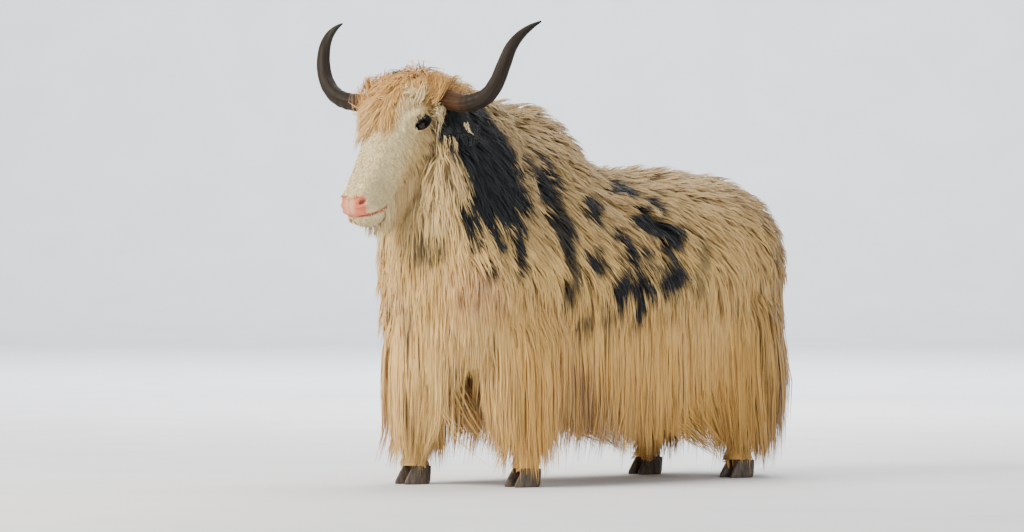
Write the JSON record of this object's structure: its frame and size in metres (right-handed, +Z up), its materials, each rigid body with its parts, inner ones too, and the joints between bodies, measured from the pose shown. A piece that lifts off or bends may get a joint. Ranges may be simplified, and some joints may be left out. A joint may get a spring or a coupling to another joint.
{
  "type": "yak",
  "caption": "Long-haired horned yak as a still, life-size model, standing on its hooves with a hanging skirt of coat.",
  "frame": {"origin": "on the floor under the middle of the whole animal's box", "axes": "+Z up, the animal faces -Y, its left side is at +X"},
  "size_m": [0.9144, 1.9342, 1.5968],
  "materials": {
    "coat": "long matted hair, cream with golden tips and black patches",
    "face": "short cream hair with ginger curls and bare pink nose",
    "dark_coat": "short black hair",
    "horn": "dark grey-brown horn, ringed and streaked at the root",
    "hoof": "dark worn hoof horn",
    "eye": "wet glossy dark brown"
  },
  "bodies": {
    "root": {"torso": "coat", "neck": "coat", "head": "face", "tail": "coat", "horn_left": "horn", "horn_right": "horn", "ear_left": "dark_coat", "ear_right": "dark_coat", "eye_left": "eye", "eye_right": "eye", "leg_front_left": "coat", "leg_front_right": "coat", "leg_hind_left": "coat", "leg_hind_right": "coat", "claw_front_left_left": "hoof", "claw_front_left_right": "hoof", "claw_front_right_left": "hoof", "claw_front_right_right": "hoof", "claw_hind_left_left": "hoof", "claw_hind_left_right": "hoof", "claw_hind_right_left": "hoof", "claw_hind_right_right": "hoof"}
  },
  "joints": []
}
